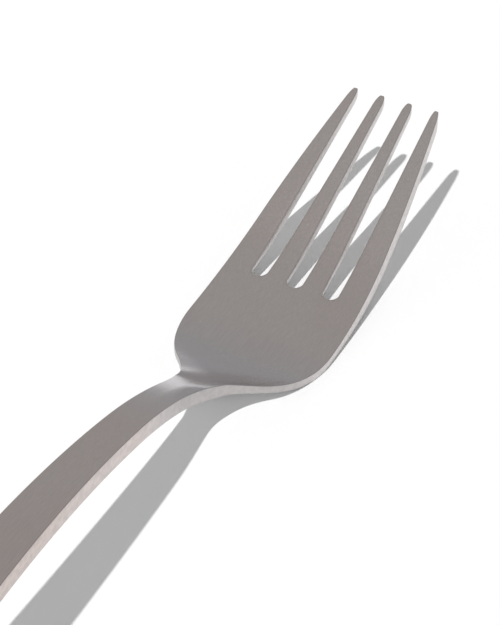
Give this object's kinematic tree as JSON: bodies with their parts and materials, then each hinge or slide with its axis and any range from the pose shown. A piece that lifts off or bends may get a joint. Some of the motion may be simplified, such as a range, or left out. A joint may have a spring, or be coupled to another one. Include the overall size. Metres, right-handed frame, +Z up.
{
  "type": "table fork",
  "caption": "Satin steel table fork with slender tapering tines, a shallow curved head, rounded shoulders, a narrow bent neck and a plain arched handle that widens to a rounded end.",
  "frame": {"origin": "middle of the fork's box at the table it lies on", "axes": "+X along the fork towards the tine tips, +Y to its left, +Z up from the table with the hollow of the head facing up"},
  "size_m": [0.2, 0.026, 0.0189],
  "materials": {
    "steel": "satin, with a fine grain along the fork"
  },
  "bodies": {
    "root": {"fork": "steel"}
  },
  "joints": []
}
